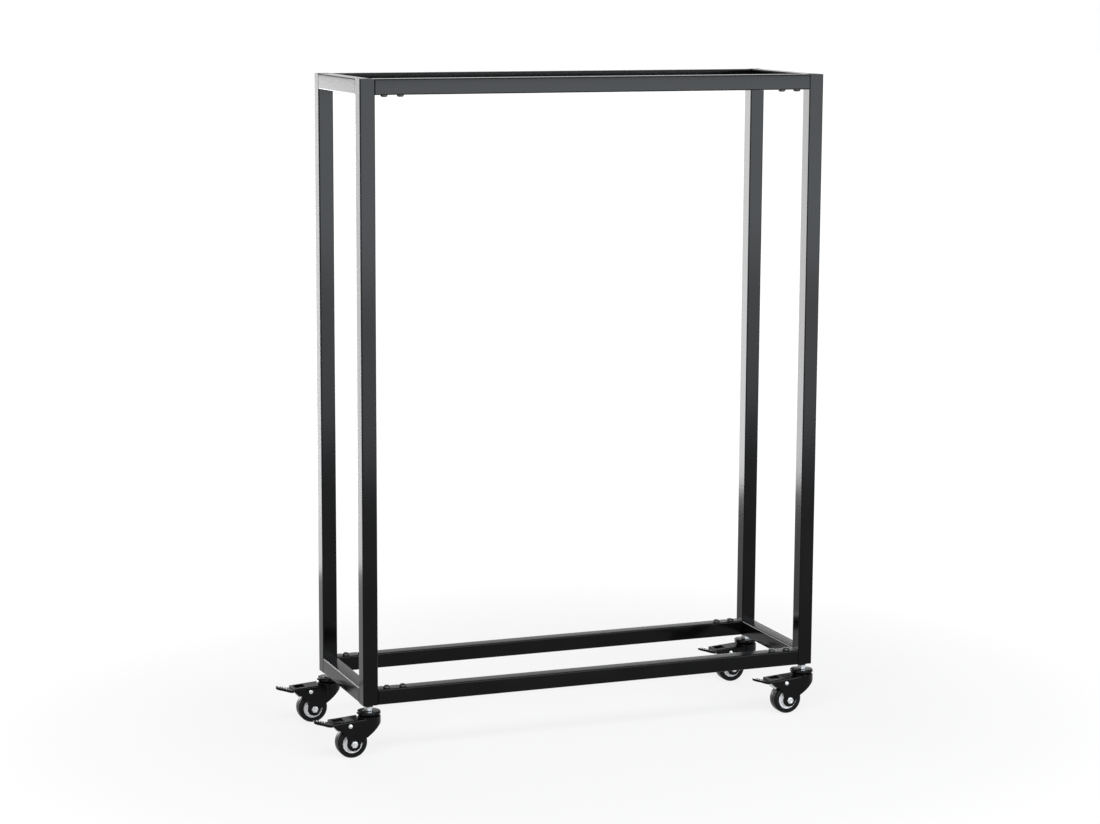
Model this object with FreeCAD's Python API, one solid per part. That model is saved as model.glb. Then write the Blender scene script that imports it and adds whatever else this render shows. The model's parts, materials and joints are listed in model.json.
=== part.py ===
import FreeCAD
import Part
import math
import os

# Firewood rack: an open square-tube frame that rolls on four braked swivel casters
# Millimetres, +Z up, +X along the rack, front at -Y
# The origin lies on the floor under the middle of the frame
# Each caster is modelled once about its stem axis, trailing towards -X

# Frame
frame_width = 800.0
frame_depth = 250.0
frame_height = 1000.0
tube_size = 25.0
tube_wall = 1.5
tube_corner = 2.0
rail_end_gap = 0.5
cap_thickness = 3.0
plug_clearance = 0.1

# Spigots and the bolts that hold the long rails on them
spigot_length = 60.0
spigot_wall = 1.5
spigot_clearance = 0.3
first_bolt_offset = 18.0
bolt_spacing = 27.0
bolt_diameter = 6.0
bolt_length = 12.0
bolt_head_diameter = 12.0
bolt_head_height = 3.5
bolt_crown_diameter = 6.0
bolt_sides = 8
bolt_hole_clearance = 0.25
weld_nut_flats = 10.0
weld_nut_height = 5.0
thread_clearance = 0.03

# Wheel
wheel_diameter = 50.0
tyre_width = 23.0
tyre_shoulder = 4.5
shoulder_steps = 2
core_diameter = 33.6
core_width = 18.0
core_boss_diameter = 20.0
core_side_gap = 0.5
bond_gap = 0.03

# Axle
axle_diameter = 6.0
running_clearance = 0.05
hex_flats = 10.0
axle_head_height = 4.0
axle_nut_height = 5.0
axle_tail = 1.5

# Fork: a pressed hood with a round head under the stem and a cheek on each side of the wheel
trail = 30.0
fork_rise = 44.5
fork_wall = 2.0
head_diameter = 39.0
head_edge_bevel = 3.5
hood_width = 35.0
hood_bend_radius = 3.0
hood_reach = 64.0
hood_drop = 4.0
hood_slope = 3.9
hood_tail_depth = 4.5
cheek_tail_inset = 7.0
cheek_tail_depth = 11.5
cheek_waist_inset = 20.0
cheek_waist_depth = 20.0
nose_depth = 12.0
boss_radius = 11.5
window_length = 17.0
window_width = 21.0
window_tail_gap = 4.0

# Swivel head: stem, ball ring, upper race and the threaded socket in the post
ball_diameter = 3.5
ball_circle = 25.0
ball_clearance = 0.3
race_plate = 1.2
race_rim = 1.8
race_rim_gap = 0.5
race_edge_bevel = 0.9
kingpin_diameter = 10.0
kingpin_head_diameter = 15.0
kingpin_head_height = 2.4
kingpin_gap = 0.3
stem_diameter = 8.0
jam_nut_flats = 13.0
jam_nut_height = 6.5
socket_boss_diameter = 14.0
socket_boss_height = 3.5
socket_depth = 16.0

# Foot brake
pin_setback = 36.2
pin_depth = 8.0
pin_diameter = 6.0
pin_tail = 1.5
pin_seat_clearance = 0.02
brake_travel = 14.0
pedal_plate = 2.0
pedal_roof_gap = 0.6
pedal_side_gap = 0.5
pedal_eye_radius = 4.4
pedal_web_setback = 6.5
pedal_flange_depth = 9.4
pedal_flange_tail = 4.4
pedal_tail_inset = 3.0
tongue_root_width = 24.0
tongue_tip_width = 16.0
tongue_root_bend = 20.0
tongue_back_bend = 150.0
tongue_climb = 23.0
tongue_tip_climb = 15.0
tongue_lip_depth = 2.2
tongue_lip_wall = 1.8
shoe_width = 20.0
shoe_tyre_gap = 0.5
shoe_start_angle = 118.0
shoe_end_angle = 143.5

# Levels and positions that follow from the sizes above
axle_height = wheel_diameter / 2
head_top = axle_height + fork_rise
race_floor = head_top + ball_diameter + ball_clearance
race_top = race_floor + race_plate
jam_nut_top = race_top + jam_nut_height
post_bottom = jam_nut_top + socket_boss_height
post_top = post_bottom + frame_height
tube_bore = tube_size - 2 * tube_wall
post_x = (frame_width - tube_size) / 2
post_y = (frame_depth - tube_size) / 2
rail_levels = {"top": post_top - tube_size / 2, "bottom": post_bottom + tube_size / 2}
hood_top = head_top - hood_drop
hood_inner_width = hood_width - 2 * fork_wall
cheek_outer = hood_width / 2
cheek_inner = hood_inner_width / 2

tiny = 1e-6

ORIGIN = FreeCAD.Vector(0, 0, 0)
X_AXIS = FreeCAD.Vector(1, 0, 0)
Y_AXIS = FreeCAD.Vector(0, 1, 0)
Z_AXIS = FreeCAD.Vector(0, 0, 1)


# Building blocks

def bar(size, length):
    """Square bar standing on the origin."""
    return Part.makeBox(size, size, length, FreeCAD.Vector(-size / 2, -size / 2, 0))


def tube(length):
    """Frame tube standing on the origin, with rounded outer edges."""
    block = bar(tube_size, length)
    upright = [edge for edge in block.Edges if edge.BoundBox.ZLength > length / 2]
    return block.makeFillet(tube_corner, upright).cut(bar(tube_bore, length))


def turned(profile):
    """Solid turned about Z from the corners of its half section, each a radius and a height."""
    corners = [FreeCAD.Vector(radius, 0, height) for radius, height in profile]
    outline = Part.makePolygon(corners + corners[:1])
    return Part.Face(outline).revolve(ORIGIN, Z_AXIS, 360)


def disc(radius, height, base=0.0):
    """Cylinder about Z that starts at a given height."""
    return Part.makeCylinder(radius, height, FreeCAD.Vector(0, 0, base))


def polygon(sides, flats, base):
    """Regular polygon about Z, measured across its flats."""
    radius = flats / 2 / math.cos(math.pi / sides)
    corners = []
    for step in range(sides + 1):
        angle = 2 * math.pi * step / sides
        corners.append(FreeCAD.Vector(radius * math.cos(angle), radius * math.sin(angle), base))
    return Part.makePolygon(corners)


def prism(sides, flats, height, base=0.0):
    """Regular prism about Z, measured across its flats."""
    return Part.Face(polygon(sides, flats, base)).extrude(Z_AXIS * height)


def hexagon(flats, height, base=0.0):
    """Hexagonal prism about Z, with a flat towards +Y."""
    return prism(6, flats, height, base)


def across(shape, x, z):
    """Lay a shape made about Z along Y, through a point of the caster's side view."""
    laid = shape.copy()
    laid.rotate(ORIGIN, X_AXIS, -90)
    laid.translate(FreeCAD.Vector(x, 0, z))
    return laid


def side_slab(edges, half_width, inner=None):
    """Slab across the caster from an outline of its side view; a pair of plates if inner is given."""
    face = Part.Face(Part.Wire(edges))
    near = -half_width
    if inner is None:
        face.translate(FreeCAD.Vector(0, near, 0))
        return face.extrude(Y_AXIS * 2 * half_width)
    plates = []
    for start in (near, inner):
        plate = face.copy()
        plate.translate(FreeCAD.Vector(0, start, 0))
        plates.append(plate.extrude(Y_AXIS * (half_width - inner)))
    return plates[0].fuse(plates[1])


def side_point(x, z):
    """Point of the caster's side view."""
    return FreeCAD.Vector(x, 0, z)


def line_chain(points):
    """Straight edges through a list of points."""
    return [Part.LineSegment(a, b).toShape() for a, b in zip(points, points[1:])]


def tilt_with_hood(shape):
    """Give a shape drawn under a level hood the hood's slope down towards the rear."""
    shape.rotate(side_point(0, hood_top), Y_AXIS, -hood_slope)
    return shape


def group(shapes):
    """Several separate solids that share one node."""
    return Part.makeCompound(shapes)


# Frame pieces

def lay_along_x(shape):
    """Turn an upright piece to run towards +X."""
    shape.rotate(ORIGIN, Y_AXIS, 90)
    return shape


def lay_along_y(shape):
    """Turn an upright piece to run towards +Y."""
    shape.rotate(ORIGIN, X_AXIS, -90)
    return shape


def bolt_places():
    """Distances of the rail bolts from the face of their post."""
    return [first_bolt_offset, first_bolt_offset + bolt_spacing]


def facing_bay(shape, level, x, y):
    """Set a fastener, made pointing up into its rail, on the rail face that looks into the bay."""
    placed = shape.copy()
    inward = tube_size / 2
    if level == "top":
        placed.translate(FreeCAD.Vector(x, y, rail_levels[level] - inward))
        return placed
    placed.rotate(ORIGIN, X_AXIS, 180)
    placed.translate(FreeCAD.Vector(x, y, rail_levels[level] + inward))
    return placed


def all_bolt_spots():
    """Rail level and position of every rail bolt."""
    spots = []
    face_x = post_x - tube_size / 2
    for level in rail_levels:
        for y in (-post_y, post_y):
            for end in (-1, 1):
                for offset in bolt_places():
                    spots.append((level, end * (face_x - offset), y))
    return spots


def drilled(shape, level, y):
    """Punch the bolt holes of one long rail, or of its spigots, through the wall facing the bay."""
    drill = prism(bolt_sides, bolt_diameter + 2 * bolt_hole_clearance, tube_size / 2)
    for spot_level, spot_x, spot_y in all_bolt_spots():
        if spot_level == level and spot_y == y:
            shape = shape.cut(facing_bay(drill, level, spot_x, spot_y))
    return shape


def make_post(x, y):
    post = tube(frame_height)
    post.translate(FreeCAD.Vector(x, y, post_bottom))
    return post


def make_side_rail(level, x):
    length = frame_depth - 2 * tube_size
    rail = lay_along_y(tube(length))
    rail.translate(FreeCAD.Vector(x, -length / 2, rail_levels[level]))
    return rail


def make_long_rail(level, y):
    length = frame_width - 2 * tube_size - 2 * rail_end_gap
    rail = lay_along_x(tube(length))
    rail.translate(FreeCAD.Vector(-length / 2, y, rail_levels[level]))
    return drilled(rail, level, y)


def make_spigot(level, y, end):
    """Stub tube welded to a post, which the end of a long rail slips over."""
    size = tube_bore - 2 * spigot_clearance
    inside = bar(size - 2 * spigot_wall, spigot_length)
    stub = lay_along_x(bar(size, spigot_length).cut(inside))
    face_x = post_x - tube_size / 2
    start = -face_x if end < 0 else face_x - spigot_length
    stub.translate(FreeCAD.Vector(start, y, rail_levels[level]))
    return drilled(stub, level, y)


def make_rail_bolt():
    """Button-head bolt pointing up, with the underside of its head at the origin."""
    rim = polygon(bolt_sides, bolt_head_diameter, 0)
    crown = polygon(bolt_sides, bolt_crown_diameter, -bolt_head_height)
    head = Part.makeLoft([rim, crown], True, True)
    return head.fuse(prism(bolt_sides, bolt_diameter, bolt_length))


def make_weld_nut():
    """Nut inside a spigot, above a bolt that points up."""
    seat = tube_wall + spigot_clearance + spigot_wall
    blank = hexagon(weld_nut_flats, weld_nut_height, seat)
    return blank.cut(prism(bolt_sides, bolt_diameter + 2 * thread_clearance, weld_nut_height, seat))


def make_top_cap(x, y):
    cap = bar(tube_bore - 2 * plug_clearance, cap_thickness)
    cap.translate(FreeCAD.Vector(x, y, post_top - cap_thickness))
    return cap


def make_stem_socket():
    """Threaded plug in the foot of a post, with a round boss for the jam nut to bear on."""
    plug = bar(tube_bore - 2 * plug_clearance, socket_depth)
    plug.translate(Z_AXIS * post_bottom)
    boss = disc(socket_boss_diameter / 2, socket_boss_height, jam_nut_top)
    bore = disc(stem_diameter / 2 + thread_clearance, socket_depth + socket_boss_height, jam_nut_top)
    return plug.fuse(boss).cut(bore)


# Swivel head pieces

def make_stem():
    """King pin and threaded stem in one: riveted head, running neck, shoulder and thread."""
    head_face = head_top - fork_wall - kingpin_gap
    head_base = head_face - kingpin_head_height
    stem_top = post_bottom + socket_depth
    head_radius = kingpin_head_diameter / 2
    neck_radius = kingpin_diameter / 2
    thread_radius = stem_diameter / 2
    return turned([
        (0, head_base),
        (head_radius, head_base),
        (head_radius, head_face),
        (neck_radius, head_face),
        (neck_radius, race_floor),
        (thread_radius, race_floor),
        (thread_radius, stem_top),
        (0, stem_top),
    ])


def make_jam_nut():
    blank = hexagon(jam_nut_flats, jam_nut_height, race_top)
    return blank.cut(disc(stem_diameter / 2 + thread_clearance, jam_nut_height, race_top))


def make_upper_race():
    """Inverted saucer over the ball ring, clamped on the stem's shoulder."""
    radius = head_diameter / 2
    skirt_base = head_top + race_rim_gap
    saucer = disc(radius, race_top - skirt_base, skirt_base)
    top_rim = [edge for edge in saucer.Edges if edge.BoundBox.ZMin > race_top - race_plate / 2]
    saucer = saucer.makeChamfer(race_edge_bevel, top_rim)
    saucer = saucer.cut(disc(radius - race_rim, race_floor - skirt_base, skirt_base))
    return saucer.cut(disc(stem_diameter / 2 + thread_clearance, race_plate, race_floor))


# Fork

def hood_block(width, drop):
    """Hood from the floor up to its sloping roof, long enough to be trimmed at the tail."""
    length = hood_reach + hood_width
    corner = FreeCAD.Vector(-length, -width / 2, -drop)
    return Part.makeBox(length, width, hood_top, corner)


def top_edges_of(block, level, lengthwise):
    """Upper edges of a block at one level: those along X, or the ring round a head."""
    found = []
    for edge in block.Edges:
        box = edge.BoundBox
        at_level = abs(box.ZMin - level) < tiny and box.ZLength < tiny
        if at_level and (not lengthwise or box.YLength < tiny):
            found.append(edge)
    return found


def cheek_outline():
    """Side view of the fork, from the top of the tail round the axle boss to the nose."""
    nose_x = head_diameter / 2
    tail_roof = hood_top - hood_reach * math.tan(math.radians(hood_slope))
    tail_top = side_point(-hood_reach, head_top)
    tail = side_point(-hood_reach, tail_roof - hood_tail_depth)
    heel = side_point(-hood_reach + cheek_tail_inset, tail_roof - cheek_tail_depth)
    waist = side_point(-hood_reach + cheek_waist_inset, tail_roof - cheek_waist_depth)
    boss_rear = side_point(-trail - boss_radius, axle_height)
    boss_low = side_point(-trail, axle_height - boss_radius)
    boss_front = side_point(-trail + boss_radius, axle_height)
    nose = side_point(nose_x, head_top - nose_depth)
    nose_top = side_point(nose_x, head_top)
    edges = line_chain([boss_front, nose, nose_top, tail_top, tail, heel])
    edges.append(Part.Arc(heel, waist, boss_rear).toShape())
    edges.append(Part.Arc(boss_rear, boss_low, boss_front).toShape())
    return edges


def make_fork():
    """Pressed shell: hood and head hollowed from below, then trimmed to the side view."""
    head_radius = head_diameter / 2
    hood = hood_block(hood_width, 0)
    hood = tilt_with_hood(hood.makeFillet(hood_bend_radius, top_edges_of(hood, hood_top, True)))
    head = disc(head_radius, head_top)
    head = head.makeChamfer(head_edge_bevel, top_edges_of(head, head_top, False))
    hollow = tilt_with_hood(hood_block(hood_inner_width, fork_wall))
    hollow = hollow.fuse(disc(head_radius - fork_wall, head_top - fork_wall))
    shell = hood.fuse(head).cut(hollow).common(side_slab(cheek_outline(), head_radius))
    shell = shell.fuse(make_ball_track()).cut(make_window())
    shell = shell.cut(disc(kingpin_diameter / 2 + running_clearance, head_top))
    axle_hole = disc(axle_diameter / 2 + thread_clearance, hood_width, -cheek_outer)
    shell = shell.cut(across(axle_hole, -trail, axle_height))
    pin_hole = disc(pin_diameter / 2 + pin_seat_clearance, hood_width, -cheek_outer)
    return shell.cut(at_pin(pin_hole)).removeSplitter()


def make_ball_track():
    """Ring of caged balls on top of the head, as one plain ring."""
    ring = disc((ball_circle + ball_diameter) / 2, ball_diameter, head_top)
    return ring.cut(disc((ball_circle - ball_diameter) / 2, ball_diameter, head_top))


def make_window():
    """Opening in the hood's roof, over the web of the pedal."""
    corner = FreeCAD.Vector(-hood_reach + window_tail_gap, -window_width / 2, hood_top - 2 * fork_wall)
    return tilt_with_hood(Part.makeBox(window_length, window_width, 3 * fork_wall, corner))


# Axle and wheel

def make_axle_bolt():
    head = hexagon(hex_flats, axle_head_height, -cheek_outer - axle_head_height)
    reach = hood_width + axle_nut_height + axle_tail
    shank = disc(axle_diameter / 2, reach, -cheek_outer)
    return across(head.fuse(shank), -trail, axle_height)


def make_axle_nut():
    nut = hexagon(hex_flats, axle_nut_height, cheek_outer)
    bore = disc(axle_diameter / 2 + thread_clearance, axle_nut_height, cheek_outer)
    return across(nut.cut(bore), -trail, axle_height)


def make_tyre():
    """Band with a flat tread and rounded shoulders."""
    centre_radius = wheel_diameter / 2 - tyre_shoulder
    centre_height = tyre_width / 2 - tyre_shoulder
    half = [(core_diameter / 2 + bond_gap, tyre_width / 2)]
    for step in range(shoulder_steps + 1):
        angle = math.pi / 2 * (1 - step / shoulder_steps)
        radius = centre_radius + tyre_shoulder * math.cos(angle)
        half.append((radius, centre_height + tyre_shoulder * math.sin(angle)))
    other_half = [(radius, -height) for radius, height in reversed(half)]
    return across(turned(half + other_half), -trail, axle_height)


def make_wheel_core():
    """Moulded core: a disc inside the tyre, with a boss on each side and a bore for the axle."""
    face = core_width / 2
    boss = cheek_inner - core_side_gap
    half = [
        (axle_diameter / 2 + running_clearance, boss),
        (core_boss_diameter / 2, boss),
        (core_boss_diameter / 2, face),
        (core_diameter / 2, face),
    ]
    other_half = [(radius, -height) for radius, height in reversed(half)]
    return across(turned(half + other_half), -trail, axle_height)


# Foot brake

def pin_point():
    """Brake pin in the caster's side view; its place is set under the level hood."""
    point = Part.Vertex(side_point(-pin_setback, hood_top - pin_depth))
    return tilt_with_hood(point).Point


def at_pin(shape):
    """Lay a shape made about Z along the brake pin."""
    point = pin_point()
    return across(shape, point.x, point.z)


def make_brake_pin():
    """Pin through both cheeks that stands a little proud of each."""
    half_length = cheek_outer + pin_tail
    return at_pin(disc(pin_diameter / 2, 2 * half_length, -half_length))


def web_top():
    """Height of the pedal's web, just under the level hood's roof."""
    return hood_top - fork_wall - pedal_roof_gap


def arc_point(centre, radius, climb, upward):
    """Point of a tongue bend where its line climbs at an angle towards the tip."""
    sine = math.sin(math.radians(climb))
    cosine = math.cos(math.radians(climb))
    if upward:
        return centre + side_point(-radius * sine, -radius * cosine)
    return centre + side_point(radius * sine, radius * cosine)


def tongue_line(drop):
    """Line of the tongue in the side view: a bend up from the web and a long bend over to the tip."""
    root_centre = side_point(-hood_reach, web_top() + tongue_root_bend)
    knee = arc_point(root_centre, tongue_root_bend, tongue_climb, True)
    back_centre = knee - arc_point(side_point(0, 0), tongue_back_bend, tongue_climb, False)
    root_radius = tongue_root_bend + drop
    back_radius = tongue_back_bend - drop
    rise_climbs = (0, tongue_climb / 2, tongue_climb)
    back_climbs = (tongue_climb, (tongue_climb + tongue_tip_climb) / 2, tongue_tip_climb)
    rise = [arc_point(root_centre, root_radius, climb, True) for climb in rise_climbs]
    back = [arc_point(back_centre, back_radius, climb, False) for climb in back_climbs]
    return rise, back


def tongue_strip(depth):
    """Curved strip of the tongue's full width, as deep as a plate or a turned-down lip."""
    upper_rise, upper_back = tongue_line(0)
    lower_rise, lower_back = tongue_line(depth)
    edges = [Part.Arc(*points).toShape() for points in (upper_rise, upper_back)]
    edges += line_chain([upper_back[-1], lower_back[-1]])
    edges += [Part.Arc(*reversed(points)).toShape() for points in (lower_back, lower_rise)]
    edges += line_chain([lower_rise[0], upper_rise[0]])
    return side_slab(edges, tongue_root_width / 2)


def tongue_plan(inset):
    """Plan of the tongue: two tapering sides and a round tip, drawn in by an inset."""
    end = tongue_line(0)[1][-1]
    tip_x = end.x + inset
    root = tongue_root_width / 2 - inset
    tip = tongue_tip_width / 2 - inset
    round_x = tip_x + tip
    near_root = FreeCAD.Vector(-hood_reach, -root, 0)
    near_tip = FreeCAD.Vector(round_x, -tip, 0)
    tip_point = FreeCAD.Vector(tip_x, 0, 0)
    far_tip = FreeCAD.Vector(round_x, tip, 0)
    far_root = FreeCAD.Vector(-hood_reach, root, 0)
    edges = line_chain([far_tip, far_root, near_root, near_tip])
    edges.append(Part.Arc(near_tip, tip_point, far_tip).toShape())
    return Part.Face(Part.Wire(edges)).extrude(Z_AXIS * 2 * end.z)


def make_pedal():
    """Pressed pedal: two flanges on the pin, a web under the hood and a lipped tongue behind it."""
    top = web_top()
    pin_x = -pin_setback
    pin_z = hood_top - pin_depth
    half_width = cheek_inner - pedal_side_gap
    tail_x = -hood_reach + pedal_tail_inset
    corners = [
        side_point(pin_x, top),
        side_point(tail_x, top),
        side_point(tail_x, top - pedal_flange_tail),
        side_point(pin_x - pedal_flange_depth, top - pedal_flange_depth),
        side_point(pin_x, pin_z - pedal_eye_radius),
    ]
    flanges = side_slab(line_chain(corners + corners[:1]), half_width, half_width - pedal_plate)
    for start in (-half_width, half_width - pedal_plate):
        flanges = flanges.fuse(across(disc(pedal_eye_radius, pedal_plate, start), pin_x, pin_z))
    web_start = pin_x - pedal_web_setback
    web_corner = FreeCAD.Vector(-hood_reach, -half_width, top - pedal_plate)
    web = Part.makeBox(web_start + hood_reach, 2 * half_width, pedal_plate, web_corner)
    plate = tongue_strip(pedal_plate).common(tongue_plan(0))
    lip = tongue_strip(pedal_plate + tongue_lip_depth).common(tongue_plan(0))
    lip = lip.cut(tongue_plan(tongue_lip_wall))
    pedal = flanges.fuse([web, plate, lip])
    eye = disc(pin_diameter / 2 + running_clearance, hood_width, -cheek_outer)
    pedal = pedal.cut(across(eye, pin_x, pin_z)).removeSplitter()
    return tilt_with_hood(pedal)


def make_shoe():
    """Brake shoe under the pedal's web, shaped to meet the tyre when the pedal is down."""
    inner = wheel_diameter / 2 + shoe_tyre_gap
    outer = inner + wheel_diameter
    sweep = shoe_end_angle - shoe_start_angle
    ring = Part.makeCylinder(outer, shoe_width, ORIGIN, Z_AXIS, sweep)
    ring = ring.cut(disc(inner, shoe_width))
    ring.rotate(ORIGIN, Z_AXIS, -shoe_end_angle)
    ring.translate(Z_AXIS * (-shoe_width / 2))
    shoe = across(ring, -trail, axle_height)
    shoe.rotate(pin_point(), Y_AXIS, brake_travel)
    seat_z = web_top() - pedal_plate
    web_length = hood_reach - pin_setback - pedal_web_setback
    corner = FreeCAD.Vector(-hood_reach, -shoe_width, seat_z - wheel_diameter)
    below_web = Part.makeBox(web_length, 2 * shoe_width, wheel_diameter, corner)
    return shoe.common(tilt_with_hood(below_web))


# Whole rack

def save(name, shape):
    shape.exportStep("parts/" + name + ".step")


def moved(shape, x, y):
    placed = shape.copy()
    placed.translate(FreeCAD.Vector(x, y, 0))
    return placed


def save_frame(corners):
    for name, (x, y) in corners.items():
        save(name + "_post", make_post(x, y))
    for level in rail_levels:
        for side, x in (("left", -post_x), ("right", post_x)):
            save(side + "_" + level + "_side_rail", make_side_rail(level, x))
        for side, y in (("front", -post_y), ("rear", post_y)):
            save(side + "_" + level + "_rail", make_long_rail(level, y))
    spigots = []
    for level in rail_levels:
        for y in (-post_y, post_y):
            for end in (-1, 1):
                spigots.append(make_spigot(level, y, end))
    save("rail_spigots", group(spigots))
    bolt = make_rail_bolt()
    nut = make_weld_nut()
    save("rail_bolts", group([facing_bay(bolt, *spot) for spot in all_bolt_spots()]))
    save("spigot_nuts", group([facing_bay(nut, *spot) for spot in all_bolt_spots()]))
    save("post_caps", group([make_top_cap(x, y) for x, y in corners.values()]))


def save_casters(corners):
    fixed_pieces = {
        "stem_sockets": make_stem_socket(),
        "caster_stems": make_stem(),
        "stem_jam_nuts": make_jam_nut(),
        "caster_upper_races": make_upper_race(),
    }
    for name, shape in fixed_pieces.items():
        save(name, group([moved(shape, x, y) for x, y in corners.values()]))
    moving_pieces = {
        "fork": make_fork(),
        "axle_bolt": make_axle_bolt(),
        "axle_nut": make_axle_nut(),
        "tyre": make_tyre(),
        "wheel_core": make_wheel_core(),
        "brake_pin": make_brake_pin(),
        "brake_pedal": make_pedal(),
        "brake_shoe": make_shoe(),
    }
    for corner, (x, y) in corners.items():
        for name, shape in moving_pieces.items():
            save(corner + "_" + name, moved(shape, x, y))


os.makedirs("parts", exist_ok=True)
rack_corners = {
    "front_left": (-post_x, -post_y),
    "front_right": (post_x, -post_y),
    "rear_left": (-post_x, post_y),
    "rear_right": (post_x, post_y),
}
save_frame(rack_corners)
save_casters(rack_corners)
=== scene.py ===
import bmesh
import bpy
import json
import math
from mathutils import Matrix, Vector
from mathutils.bvhtree import BVHTree


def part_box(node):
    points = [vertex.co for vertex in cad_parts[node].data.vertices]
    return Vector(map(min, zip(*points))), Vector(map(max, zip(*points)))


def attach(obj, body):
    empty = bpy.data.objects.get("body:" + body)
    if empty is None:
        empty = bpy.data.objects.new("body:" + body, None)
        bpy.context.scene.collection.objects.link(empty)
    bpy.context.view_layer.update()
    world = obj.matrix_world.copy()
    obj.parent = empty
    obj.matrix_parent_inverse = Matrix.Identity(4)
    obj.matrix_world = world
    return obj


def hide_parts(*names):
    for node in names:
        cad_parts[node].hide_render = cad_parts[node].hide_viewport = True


# Firewood rack on braked casters, in metres, in the frame's own axes

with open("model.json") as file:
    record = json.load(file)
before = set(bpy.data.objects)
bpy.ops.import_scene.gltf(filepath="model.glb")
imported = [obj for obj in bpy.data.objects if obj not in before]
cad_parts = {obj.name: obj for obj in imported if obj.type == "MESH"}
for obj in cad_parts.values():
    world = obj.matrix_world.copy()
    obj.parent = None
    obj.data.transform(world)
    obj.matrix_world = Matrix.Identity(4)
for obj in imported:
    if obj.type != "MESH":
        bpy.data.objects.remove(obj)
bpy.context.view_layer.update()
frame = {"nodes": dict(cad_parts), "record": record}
corners = ("front_left", "front_right", "rear_left", "rear_right")
x_axis = Vector((1, 0, 0))
y_axis = Vector((0, 1, 0))
z_axis = Vector((0, 0, 1))

# Camera
camera_place = (-1.6694, -4.2039, 1.2636)
camera_yaw = 21.27
camera_pitch = -9.31
camera_roll = 0.29
camera_lens = 89.7
sensor_width = 36.0

# Floor, backdrop and light
floor_size = 60
floor_grey = 0.36
shadow_core = 0.5
shadow_reach = 1.5
white_share = 0.76
white_level = 1.08
backdrop_fade_start = 0.24
backdrop_fade_end = 0.34
backdrop_dim = 0.22
fill_tint = (0.30, 0.30, 0.31)
plain_white = (1, 1, 1)
cool_white = (0.88, 0.94, 1.0)
seen_rays = ("Is Camera Ray", "Is Glossy Ray", "Is Transmission Ray")

# Range of the noise over which a finish goes from dark to light
dark_until = 0.35
light_from = 0.65

# Steps of a turned piece, and the limits used on meshes
fine_steps = 72
sharp_angle = math.radians(32)
flat_angle = math.radians(1)
merge_distance = 1e-6

# Fasteners
axle_radius = 0.003
stem_radius = 0.004
bolt_radius = 0.003
thread_pitch = 0.001
thread_depth = 0.0004
washer_face = 0.0003
hex_circle_share = 0.95
hex_chamfer_slope = math.tan(math.radians(30))
head_dish = 0.0005
head_dish_share = 0.38
nut_collar = 0.0016
collar_share = 0.42
rivet_radius = 0.0036
rivet_steps = 7
button_radius = 0.0062
button_rim = 0.0005
button_crown = 0.0033
button_steps = 8
socket_flats = 0.004
socket_depth = 0.0021

# Wheels
tyre_shoulder = 0.0045
shoulder_steps = 8
mould_line = 0.0001
mould_line_width = 0.0008
core_boss_radius = 0.010
core_setback = 0.0025
core_edge = 0.0007
core_dish = 0.0011
core_lip = 0.0012
bore_clearance = 0.0001

# Swivel races
race_wall = 0.0018
race_plate = 0.0012
race_roll = 0.0017
race_roll_steps = 6
race_pad_radius = 0.0085
race_pad_height = 0.0004

# Rounded edges
pressing_round = 0.0005
small_round = 0.0004
rail_end_round = 0.0008
round_segments = 3

# Grip ribs on the pedals
rib_count = 4
rib_start = 0.0065
rib_pitch = 0.0042
rib_length = 0.011
rib_radius = 0.0010
rib_height = 0.0006
rib_steps = 16


# Materials

def new_material(name, **settings):
    """Material with one principled shader and the given constant inputs."""
    material = bpy.data.materials.new(name)
    material.use_nodes = True
    shader = material.node_tree.nodes["Principled BSDF"]
    for label, value in settings.items():
        shader.inputs[label.replace("_", " ")].default_value = value
    return material, material.node_tree, shader


def add_noise(tree, scale, detail=4.0):
    """Noise over the part's own coordinates."""
    place = tree.nodes.new("ShaderNodeTexCoord")
    noise = tree.nodes.new("ShaderNodeTexNoise")
    noise.inputs["Scale"].default_value = scale
    noise.inputs["Detail"].default_value = detail
    tree.links.new(place.outputs["Object"], noise.inputs["Vector"])
    return noise.outputs["Fac"]


def colour_between(tree, shader, factor, dark, light):
    """Let a factor move the base colour between two tints."""
    ramp = tree.nodes.new("ShaderNodeValToRGB")
    ramp.color_ramp.elements[0].position = dark_until
    ramp.color_ramp.elements[0].color = (*dark, 1)
    ramp.color_ramp.elements[1].position = light_from
    ramp.color_ramp.elements[1].color = (*light, 1)
    tree.links.new(factor, ramp.inputs["Fac"])
    tree.links.new(ramp.outputs["Color"], shader.inputs["Base Color"])


def roughness_between(tree, shader, factor, low, high):
    """Let a factor move the roughness between two values."""
    span = tree.nodes.new("ShaderNodeMapRange")
    span.inputs["To Min"].default_value = low
    span.inputs["To Max"].default_value = high
    tree.links.new(factor, span.inputs["Value"])
    tree.links.new(span.outputs["Result"], shader.inputs["Roughness"])


def add_bump(tree, shader, factor, strength, depth):
    """Let a factor raise the surface by up to a depth."""
    bump = tree.nodes.new("ShaderNodeBump")
    bump.inputs["Strength"].default_value = strength
    bump.inputs["Distance"].default_value = depth
    tree.links.new(factor, bump.inputs["Height"])
    tree.links.new(bump.outputs["Normal"], shader.inputs["Normal"])


def powder_coat():
    """Satin black powder coat with a fine orange peel."""
    material, tree, shader = new_material("powder_coat", Specular_IOR_Level=0.11)
    cloud = add_noise(tree, scale=14.0)
    peel = add_noise(tree, scale=700.0, detail=2.0)
    colour_between(tree, shader, cloud, dark=(0.0012, 0.0012, 0.0013), light=(0.0022, 0.0022, 0.0024))
    roughness_between(tree, shader, cloud, low=0.12, high=0.17)
    add_bump(tree, shader, peel, strength=0.06, depth=0.0002)
    return material


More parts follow.
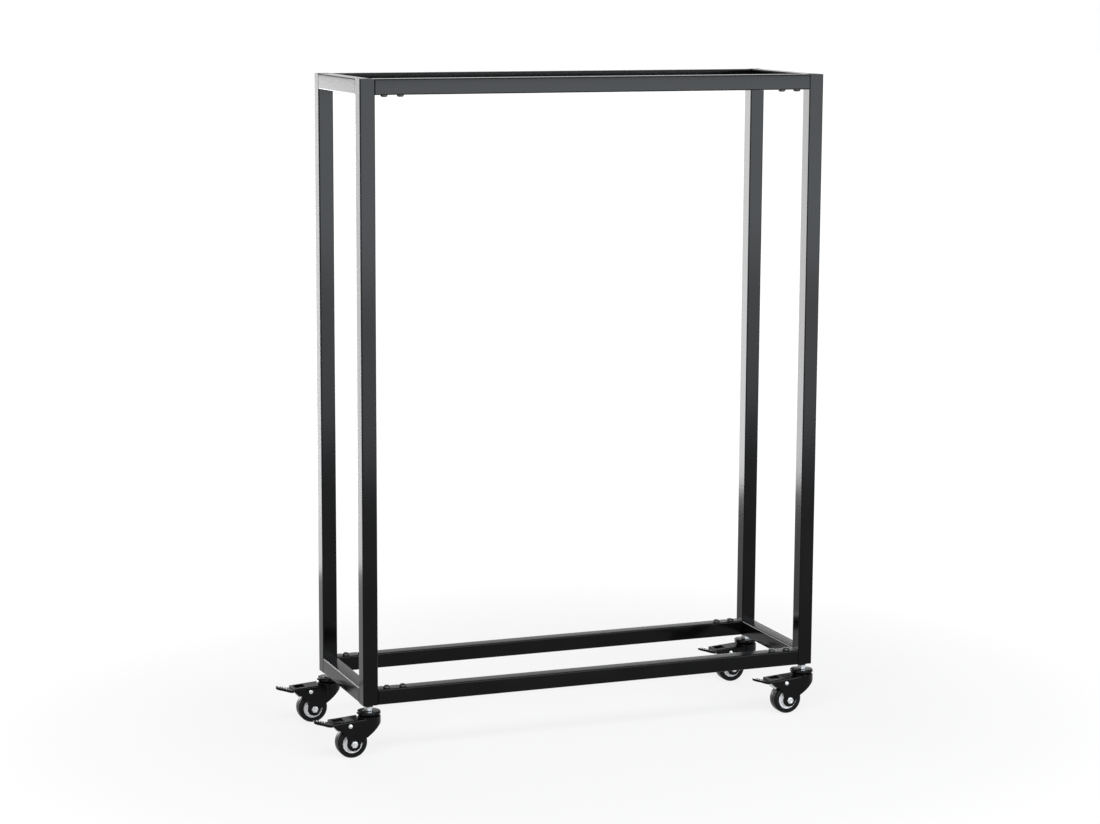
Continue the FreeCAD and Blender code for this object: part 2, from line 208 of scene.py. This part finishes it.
def bolt_black():
    """Black oxide on small fasteners."""
    material, tree, shader = new_material("bolt_black", Specular_IOR_Level=0.4)
    cloud = add_noise(tree, scale=220.0)
    colour_between(tree, shader, cloud, dark=(0.008, 0.008, 0.009), light=(0.018, 0.018, 0.019))
    roughness_between(tree, shader, cloud, low=0.18, high=0.32)
    return material


def caster_black():
    """Glossy black coat on pressed steel."""
    material, tree, shader = new_material("caster_black", Specular_IOR_Level=0.12)
    cloud = add_noise(tree, scale=90.0)
    peel = add_noise(tree, scale=500.0, detail=2.0)
    colour_between(tree, shader, cloud, dark=(0.0008, 0.0008, 0.0009), light=(0.0016, 0.0016, 0.0018))
    roughness_between(tree, shader, cloud, low=0.10, high=0.20)
    add_bump(tree, shader, peel, strength=0.06, depth=0.0002)
    return material


def zinc_plate():
    """Bright zinc with a faint crystalline cloud."""
    material, tree, shader = new_material("zinc_plate", Metallic=1.0)
    cloud = add_noise(tree, scale=350.0)
    colour_between(tree, shader, cloud, dark=(0.43, 0.44, 0.45), light=(0.60, 0.61, 0.62))
    roughness_between(tree, shader, cloud, low=0.22, high=0.42)
    return material


def plug_plastic():
    """Matt black moulded plastic."""
    material, tree, shader = new_material("plug_plastic", Specular_IOR_Level=0.3)
    grain = add_noise(tree, scale=900.0, detail=3.0)
    colour_between(tree, shader, grain, dark=(0.010, 0.010, 0.010), light=(0.018, 0.018, 0.018))
    roughness_between(tree, shader, grain, low=0.5, high=0.62)
    add_bump(tree, shader, grain, strength=0.15, depth=0.0002)
    return material


def tyre_rubber():
    """Black tread with a soft sheen."""
    material, tree, shader = new_material("tyre_rubber", Specular_IOR_Level=0.12)
    dust = add_noise(tree, scale=160.0)
    grain = add_noise(tree, scale=1200.0, detail=2.0)
    colour_between(tree, shader, dust, dark=(0.0012, 0.0012, 0.0012), light=(0.0032, 0.0032, 0.0032))
    roughness_between(tree, shader, dust, low=0.26, high=0.42)
    add_bump(tree, shader, grain, strength=0.08, depth=0.0002)
    return material


def core_grey():
    """Light grey moulded core."""
    material, tree, shader = new_material("core_grey", Specular_IOR_Level=0.4)
    cloud = add_noise(tree, scale=260.0)
    colour_between(tree, shader, cloud, dark=(0.62, 0.62, 0.63), light=(0.72, 0.72, 0.73))
    roughness_between(tree, shader, cloud, low=0.32, high=0.48)
    return material


finishes = {
    "frame_paint": powder_coat(),
    "black_bolt": bolt_black(),
    "zinc_plate": zinc_plate(),
    "black_plastic": plug_plastic(),
    "caster_black": caster_black(),
    "tyre": tyre_rubber(),
    "grey_core": core_grey(),
}
for subpart in frame["record"]["subparts"]:
    for material_slot in frame["nodes"][subpart["node"]].material_slots:
        material_slot.material = finishes[subpart["material_slot"]]


# Mesh tools

def node_box(node):
    """Lowest corner, highest corner and centre of a CAD node."""
    low, high = (Vector(corner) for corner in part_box(node))
    return low, high, (low + high) / 2


def merged_copy(node):
    """Editable mesh of a CAD node with its split corners joined and its flat faces whole."""
    bm = bmesh.new()
    bm.from_mesh(frame["nodes"][node].data)
    bmesh.ops.remove_doubles(bm, verts=bm.verts, dist=merge_distance)
    bmesh.ops.dissolve_limit(bm, angle_limit=flat_angle, verts=bm.verts, edges=bm.edges)
    return bm


def solid_boxes(node):
    """Lowest and highest corner of each separate solid of a CAD node."""
    bm = merged_copy(node)
    waiting = set(bm.verts)
    boxes = []
    while waiting:
        reached = [waiting.pop()]
        for vert in reached:
            neighbours = {edge.other_vert(vert) for edge in vert.link_edges} & waiting
            waiting -= neighbours
            reached.extend(neighbours)
        low = Vector([min(vert.co[i] for vert in reached) for i in range(3)])
        high = Vector([max(vert.co[i] for vert in reached) for i in range(3)])
        boxes.append((low, high))
    bm.free()
    return boxes


def at_angle(value, angle):
    """A number as it is, or what a function gives for an angle."""
    return value(angle) if callable(value) else value


def turn(bm, rings, place, axis, closed=False, steps=fine_steps):
    """Skin through rings about an axis, each a radius and a height; a closed skin has a bore."""
    side = axis.cross(x_axis)
    rows = []
    for radius, height in rings:
        row = []
        for step in range(steps):
            angle = 2 * math.pi * step / steps
            out = x_axis * math.cos(angle) + side * math.sin(angle)
            point = place + axis * at_angle(height, angle) + out * at_angle(radius, angle)
            row.append(bm.verts.new(point))
        rows.append(row)
    if closed:
        rows.append(rows[0])
    else:
        bm.faces.new(rows[0])
        bm.faces.new(rows[-1])
    for low, high in zip(rows, rows[1:]):
        for step in range(steps):
            following = (step + 1) % steps
            bm.faces.new((low[step], low[following], high[following], high[step]))


def mirrored(half):
    """Rings of a piece that is alike on both sides, from one half given towards the middle."""
    return half + [(radius, -height) for radius, height in reversed(half)]


def quarter_round(radius, height, size, steps):
    """Rings of a rounded edge about a centre, from the top of the round to its outside."""
    angles = [math.pi / 2 * (1 - step / steps) for step in range(steps + 1)]
    return [(radius + size * math.cos(angle), height + size * math.sin(angle)) for angle in angles]


def hex_outline(flats):
    """Distance to the outline of a hexagon, as a function of the angle."""
    sector = math.pi / 3
    return lambda angle: flats / 2 / math.cos(angle % sector - sector / 2)


def hex_side(flats, base, top, foot):
    """Rings up a hexagon with chamfered corners at the top, and a chamfered or a washer-faced foot."""
    outline = hex_outline(flats)
    circle = flats / 2 * hex_circle_share

    def upper(angle):
        return top - (outline(angle) - circle) * hex_chamfer_slope

    def lower(angle):
        return base + (outline(angle) - circle) * hex_chamfer_slope

    if foot:
        return [(circle, base), (outline, lower), (outline, upper), (circle, top)]
    face = base + washer_face
    return [(circle, base), (circle, face), (outline, face), (outline, upper), (circle, top)]


def new_piece(name, bm, slot, body, *nodes):
    """Shown piece from a built mesh, with its finish, on its body, in place of CAD nodes."""
    bmesh.ops.recalc_face_normals(bm, faces=bm.faces)
    mesh = bpy.data.meshes.new(name)
    bm.to_mesh(mesh)
    bm.free()
    split_normals = mesh.attributes.get("custom_normal")
    if split_normals:
        mesh.attributes.remove(split_normals)
    mesh.shade_smooth()
    mesh.set_sharp_from_angle(angle=sharp_angle)
    mesh.materials.append(finishes[slot])
    piece = bpy.data.objects.new(name, mesh)
    bpy.context.scene.collection.objects.link(piece)
    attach(piece, body)
    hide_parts(*nodes)
    return piece


def soften(piece, width):
    """Round the sharp edges of a piece over."""
    bevel = piece.modifiers.new("rounded_edges", "BEVEL")
    bevel.width = width
    bevel.segments = round_segments
    bevel.limit_method = "ANGLE"
    bevel.angle_limit = sharp_angle
    bevel.harden_normals = True


# Rails, frame fasteners and plugs

def make_rails():
    """Rails with their cut ends eased, so that a groove shows at each post."""
    for level in ("top", "bottom"):
        for side in ("front_{}", "rear_{}", "left_{}_side", "right_{}_side"):
            rail = side.format(level)
            node = rail + "_rail"
            tube = new_piece(rail + "_tube", merged_copy(node), "frame_paint", "frame", node)
            soften(tube, rail_end_round)


def make_rail_bolts():
    """Button heads with hexagon sockets on the rail faces that look into the bay."""
    bm = bmesh.new()
    upper_seat = node_box("front_top_rail")[0].z
    lower_seat = node_box("front_bottom_rail")[1].z
    for low, high in solid_boxes("rail_bolts"):
        middle = (low + high) / 2
        if middle.z > (upper_seat + lower_seat) / 2:
            axis, seat, top, tail = -z_axis, upper_seat, upper_seat - low.z, upper_seat - high.z
        else:
            axis, seat, top, tail = z_axis, lower_seat, high.z - lower_seat, low.z - lower_seat
        rings = [
            (bolt_radius - thread_depth, tail),
            (bolt_radius, tail + thread_depth),
            (bolt_radius, 0),
            (button_radius, 0),
            (button_radius, button_rim),
        ]
        for step in range(1, button_steps + 1):
            angle = math.pi / 2 * step / button_steps
            radius = button_crown + (button_radius - button_crown) * math.cos(angle)
            rings.append((radius, button_rim + (top - button_rim) * math.sin(angle)))
        socket = hex_outline(socket_flats)
        rings += [(socket, top), (socket, top - socket_depth)]
        turn(bm, rings, Vector((middle.x, middle.y, seat)), axis)
    new_piece("rail_bolt_buttons", bm, "black_bolt", "frame", "rail_bolts")


def make_plugs():
    """Plugs in the ends of the posts, with their moulded edges."""
    for name, node in (("post_cap_plugs", "post_caps"), ("threaded_feet", "stem_sockets")):
        plugs = new_piece(name, merged_copy(node), "black_plastic", "frame", node)
        soften(plugs, small_round)


# Swivel heads

def make_races():
    """Pressed saucers with a rolled rim and a raised pad under the nut."""
    bm = bmesh.new()
    for low, high in solid_boxes("caster_upper_races"):
        radius = (high.x - low.x) / 2
        shelf = high.z - race_pad_height
        rings = [
            (stem_radius, high.z),
            (race_pad_radius, high.z),
            (race_pad_radius + race_pad_height, shelf),
        ]
        rings += quarter_round(radius - race_roll, shelf - race_roll, race_roll, race_roll_steps)
        rings += [
            (radius, low.z),
            (radius - race_wall, low.z),
            (radius - race_wall, high.z - race_plate),
            (stem_radius, high.z - race_plate),
        ]
        middle = (low + high) / 2
        turn(bm, rings, Vector((middle.x, middle.y, 0)), z_axis, closed=True)
    new_piece("race_saucers", bm, "caster_black", "frame", "caster_upper_races")


def make_jam_nuts():
    """Hexagon nuts on the stems, chamfered on both sides."""
    bm = bmesh.new()
    for low, high in solid_boxes("stem_jam_nuts"):
        rings = [(stem_radius, low.z)]
        rings += hex_side(high.y - low.y, low.z, high.z, foot=True)
        rings += [(stem_radius, high.z)]
        middle = (low + high) / 2
        turn(bm, rings, Vector((middle.x, middle.y, 0)), z_axis, closed=True)
    new_piece("jam_nut_hexagons", bm, "zinc_plate", "frame", "stem_jam_nuts")


# Casters

def make_fork(corner):
    """Pressed hood and cheeks with their edges rounded over."""
    node = corner + "_fork"
    pressing = new_piece(node + "_pressing", merged_copy(node), "caster_black", node, node)
    soften(pressing, pressing_round)


def make_axle(corner):
    """Hexagon bolt through the cheeks, and its locking nut."""
    body = corner + "_fork"
    centre = node_box(corner + "_tyre")[2]
    nut_low, nut_high, _ = node_box(corner + "_axle_nut")
    bolt_low, bolt_high, _ = node_box(corner + "_axle_bolt")
    flats = nut_high.z - nut_low.z
    cheek = nut_low.y - centre.y
    nut_top = nut_high.y - centre.y
    tail = bolt_high.y - centre.y
    head_top = centre.y - bolt_low.y

    bm = bmesh.new()
    rings = [(axle_radius - thread_depth, -tail)]
    for thread in range(int((tail - nut_top) / thread_pitch)):
        crest = -tail + (thread + 0.5) * thread_pitch
        rings += [(axle_radius, crest), (axle_radius - thread_depth, crest + thread_pitch / 2)]
    rings += [(axle_radius, -nut_top), (axle_radius, cheek)]
    rings += hex_side(flats, cheek, head_top, foot=False)
    dish = flats * head_dish_share
    rings += [(dish, head_top), (dish - head_dish, head_top - head_dish)]
    turn(bm, rings, centre, -y_axis)
    new_piece(corner + "_axle_screw", bm, "zinc_plate", body, corner + "_axle_bolt")

    bm = bmesh.new()
    hex_top = nut_top - nut_collar
    collar = flats * collar_share
    rings = [(axle_radius, cheek)]
    rings += hex_side(flats, cheek, hex_top, foot=True)
    rings += [
        (collar, hex_top),
        (collar, nut_top - head_dish),
        (collar - head_dish, nut_top),
        (axle_radius, nut_top),
    ]
    turn(bm, rings, centre, y_axis, closed=True)
    new_piece(corner + "_locking_nut", bm, "zinc_plate", body, corner + "_axle_nut")


def make_rivet(corner):
    """Brake pin with a domed head on each cheek."""
    node = corner + "_brake_pin"
    low, high, centre = node_box(node)
    cheek = node_box(corner + "_axle_nut")[0].y - centre.y
    dome = high.y - centre.y - cheek
    half = []
    for step in range(rivet_steps):
        angle = math.pi / 2 * (1 - (step + 0.5) / rivet_steps)
        half.append((rivet_radius * math.cos(angle), cheek + dome * math.sin(angle)))
    half += [(rivet_radius, cheek), ((high.z - low.z) / 2, cheek)]
    bm = bmesh.new()
    turn(bm, mirrored(half), centre, y_axis)
    new_piece(corner + "_rivet", bm, "zinc_plate", corner + "_fork", node)


def make_wheel(corner):
    """Round-shouldered tyre with a mould line, on a dished core."""
    tyre = corner + "_tyre"
    core = corner + "_wheel_core"
    tyre_low, tyre_high, centre = node_box(tyre)
    core_low, core_high, _ = node_box(core)
    core_radius = (core_high.z - core_low.z) / 2
    half_width = (tyre_high.y - tyre_low.y) / 2
    outside = (tyre_high.z - tyre_low.z) / 2
    tread = outside - mould_line

    shoulder = (tread - tyre_shoulder, half_width - tyre_shoulder)
    half = [(core_radius, half_width - core_edge), (core_radius + core_edge, half_width)]
    half += quarter_round(*shoulder, tyre_shoulder, shoulder_steps)
    half += [(tread, mould_line_width), (outside, mould_line_width / 2)]
    bm = bmesh.new()
    turn(bm, mirrored(half), centre, y_axis, closed=True)
    new_piece(corner + "_tread_band", bm, "tyre", corner + "_wheel", tyre)

    boss = (core_high.y - core_low.y) / 2
    face = half_width - core_setback
    floor = face - core_dish
    half = [
        (axle_radius + bore_clearance, boss),
        (core_boss_radius - core_edge, boss),
        (core_boss_radius, boss - core_edge),
        (core_boss_radius, floor + core_edge),
        (core_boss_radius + core_edge, floor),
        (core_radius - core_lip - core_dish, floor),
        (core_radius - core_lip, face),
        (core_radius, face),
    ]
    bm = bmesh.new()
    turn(bm, mirrored(half), centre, y_axis, closed=True)
    new_piece(corner + "_dished_core", bm, "grey_core", corner + "_wheel", core)


def make_brake(corner):
    """Pedal with grip ribs across its tongue, and the shoe under it."""
    pedal = corner + "_brake_pedal"
    shoe = corner + "_brake_shoe"
    body = corner + "_brake"
    bm = merged_copy(pedal)
    low, high, centre = node_box(pedal)
    surface = BVHTree.FromBMesh(bm)
    for rib in range(rib_count):
        above = Vector((low.x + rib_start + rib * rib_pitch, centre.y, high.z + rib_length))
        spot, normal, _, _ = surface.ray_cast(above, -z_axis)
        half = [
            (rib_radius / 2, rib_length / 2),
            (rib_radius, rib_length / 2 - rib_radius),
        ]
        turn(bm, mirrored(half), spot - normal * (rib_radius - rib_height), y_axis, steps=rib_steps)
    pressing = new_piece(pedal + "_pressing", bm, "caster_black", body, pedal)
    soften(pressing, pressing_round)
    block = new_piece(shoe + "_block", merged_copy(shoe), "zinc_plate", body, shoe)
    soften(block, small_round)


make_rails()
make_rail_bolts()
make_plugs()
make_races()
make_jam_nuts()
for caster in corners:
    make_fork(caster)
    make_axle(caster)
    make_rivet(caster)
    make_wheel(caster)
    make_brake(caster)


# Stage, light and camera

def ray_kinds(tree):
    """Whether a ray comes from the camera, a reflection or a clear piece, as shader values."""
    path = tree.nodes.new("ShaderNodeLightPath")
    return [path.outputs[kind] for kind in seen_rays]


def largest_of(tree, values):
    """Greatest of several shader values."""
    total = values[0]
    for value in values[1:]:
        largest = tree.nodes.new("ShaderNodeMath")
        largest.operation = "MAXIMUM"
        tree.links.new(total, largest.inputs[0])
        tree.links.new(value, largest.inputs[1])
        total = largest.outputs[0]
    return total


def away_from_rack(tree):
    """Share of plain white on the floor, which grows with the distance from the rack."""
    place = tree.nodes.new("ShaderNodeTexCoord")
    distance = tree.nodes.new("ShaderNodeVectorMath")
    distance.operation = "LENGTH"
    share = tree.nodes.new("ShaderNodeMapRange")
    share.interpolation_type = "SMOOTHSTEP"
    share.inputs["From Min"].default_value = shadow_core
    share.inputs["From Max"].default_value = shadow_reach
    share.inputs["To Min"].default_value = white_share
    share.inputs["To Max"].default_value = 1.0
    tree.links.new(place.outputs["Object"], distance.inputs[0])
    tree.links.new(distance.outputs["Value"], share.inputs["Value"])
    return share.outputs["Result"]


def add_floor():
    """Pale floor that shows as white and keeps a soft shadow."""
    bpy.ops.mesh.primitive_plane_add(size=floor_size)
    floor = bpy.context.object
    floor.name = "floor"
    material = bpy.data.materials.new("floor")
    material.use_nodes = True
    tree = material.node_tree
    tree.nodes.clear()
    matt = tree.nodes.new("ShaderNodeBsdfDiffuse")
    matt.inputs["Color"].default_value = (floor_grey, floor_grey, floor_grey, 1)
    glow = tree.nodes.new("ShaderNodeEmission")
    glow.inputs["Color"].default_value = (*plain_white, 1)
    glow.inputs["Strength"].default_value = white_level
    share = tree.nodes.new("ShaderNodeMath")
    share.operation = "MULTIPLY"
    mix = tree.nodes.new("ShaderNodeMixShader")
    output = tree.nodes.new("ShaderNodeOutputMaterial")
    tree.links.new(largest_of(tree, ray_kinds(tree)), share.inputs[0])
    tree.links.new(away_from_rack(tree), share.inputs[1])
    tree.links.new(share.outputs[0], mix.inputs["Fac"])
    tree.links.new(matt.outputs["BSDF"], mix.inputs[1])
    tree.links.new(glow.outputs["Emission"], mix.inputs[2])
    tree.links.new(mix.outputs["Shader"], output.inputs["Surface"])
    floor.data.materials.append(material)


def backdrop_by_height(tree):
    """Backdrop that is white low down and dim above, as reflections see it."""
    direction = tree.nodes.new("ShaderNodeTexCoord")
    split = tree.nodes.new("ShaderNodeSeparateXYZ")
    fade = tree.nodes.new("ShaderNodeMapRange")
    fade.inputs["From Min"].default_value = backdrop_fade_start
    fade.inputs["From Max"].default_value = backdrop_fade_end
    fade.inputs["To Min"].default_value = 1.0
    fade.inputs["To Max"].default_value = backdrop_dim
    tree.links.new(direction.outputs["Generated"], split.inputs["Vector"])
    tree.links.new(split.outputs["Z"], fade.inputs["Value"])
    return fade.outputs["Result"]


def add_world():
    """White where it is seen, graded in reflections, and a dim fill for all other light."""
    world = bpy.data.worlds.new("studio")
    bpy.context.scene.world = world
    world.use_nodes = True
    tree = world.node_tree
    tree.nodes.clear()
    rays = ray_kinds(tree)
    camera_ray = rays[0]
    fill = tree.nodes.new("ShaderNodeBackground")
    fill.inputs["Color"].default_value = (*fill_tint, 1)
    white = tree.nodes.new("ShaderNodeBackground")
    white.inputs["Color"].default_value = (*plain_white, 1)
    mix = tree.nodes.new("ShaderNodeMixShader")
    output = tree.nodes.new("ShaderNodeOutputWorld")
    tree.links.new(largest_of(tree, [camera_ray, backdrop_by_height(tree)]), white.inputs["Strength"])
    tree.links.new(largest_of(tree, rays), mix.inputs["Fac"])
    tree.links.new(fill.outputs["Background"], mix.inputs[1])
    tree.links.new(white.outputs["Background"], mix.inputs[2])
    tree.links.new(mix.outputs["Shader"], output.inputs["Surface"])


def add_panel(name, place, target, width, height, radiance, colour=plain_white):
    """Soft light panel at a place, facing a target, as bright as its radiance."""
    light = bpy.data.lights.new(name, "AREA")
    light.color = colour
    light.shape = "RECTANGLE"
    light.size = width
    light.size_y = height
    light.energy = radiance * math.pi * width * height
    panel = bpy.data.objects.new(name, light)
    panel.location = place
    away = Vector(place) - Vector(target)
    panel.rotation_euler = away.to_track_quat("Z", "Y").to_euler()
    panel.visible_camera = False
    bpy.context.scene.collection.objects.link(panel)


def add_camera():
    """Camera that sees the rack as the photograph does."""
    data = bpy.data.cameras.new("photo_camera")
    data.lens = camera_lens
    data.sensor_width = sensor_width
    camera = bpy.data.objects.new("photo_camera", data)
    turned = Matrix.Rotation(math.radians(-camera_yaw), 4, "Z")
    tipped = Matrix.Rotation(math.radians(90 + camera_pitch), 4, "X")
    rolled = Matrix.Rotation(math.radians(camera_roll), 4, "Z")
    camera.matrix_world = Matrix.Translation(camera_place) @ turned @ tipped @ rolled
    bpy.context.scene.collection.objects.link(camera)
    bpy.context.scene.camera = camera


add_floor()
add_world()
# Sheen on the left faces of the left posts
add_panel(
    "rear_left_panel",
    place=(-0.80, 1.20, 0.53),
    target=(-0.80, 0, 0.53),
    width=0.62,
    height=1.06,
    radiance=3.0,
)
# Sheen on the inner faces of the right posts
add_panel(
    "rear_right_panel",
    place=(-0.43, 1.75, 0.53),
    target=(-0.43, 0, 0.53),
    width=0.60,
    height=1.06,
    radiance=10.2,
)
# Sheen on the front faces, which fades downwards
add_panel(
    "front_upper_panel",
    place=(0.90, -2.30, 0.84),
    target=(0.90, 0, 0.84),
    width=2.4,
    height=0.68,
    radiance=9.3,
    colour=cool_white,
)
add_panel(
    "front_lower_panel",
    place=(1.25, -2.30, 0.27),
    target=(1.25, 0, 0.27),
    width=2.2,
    height=0.46,
    radiance=5.2,
    colour=cool_white,
)
# Light from above, high enough to leave the tops of the rails dark
add_panel(
    "left_key_panel",
    place=(-1.5, -2.0, 2.9),
    target=(-0.2, 0, 0.1),
    width=1.5,
    height=1.4,
    radiance=10.0,
)
add_panel(
    "right_key_panel",
    place=(0.8, -1.7, 2.6),
    target=(0, 0, 0.1),
    width=1.8,
    height=1.0,
    radiance=7.0,
)
# Fill for the sides that the other panels leave dark
add_panel(
    "fill_front_panel",
    place=(-2.0, -2.0, 0.60),
    target=(0, 0, 0.60),
    width=2.4,
    height=1.1,
    radiance=2.2,
)
add_panel(
    "fill_rear_panel",
    place=(2.0, 2.0, 0.25),
    target=(0, 0, 0.25),
    width=2.4,
    height=0.50,
    radiance=4.0,
)
add_camera()
bpy.context.scene.view_settings.view_transform = "Standard"
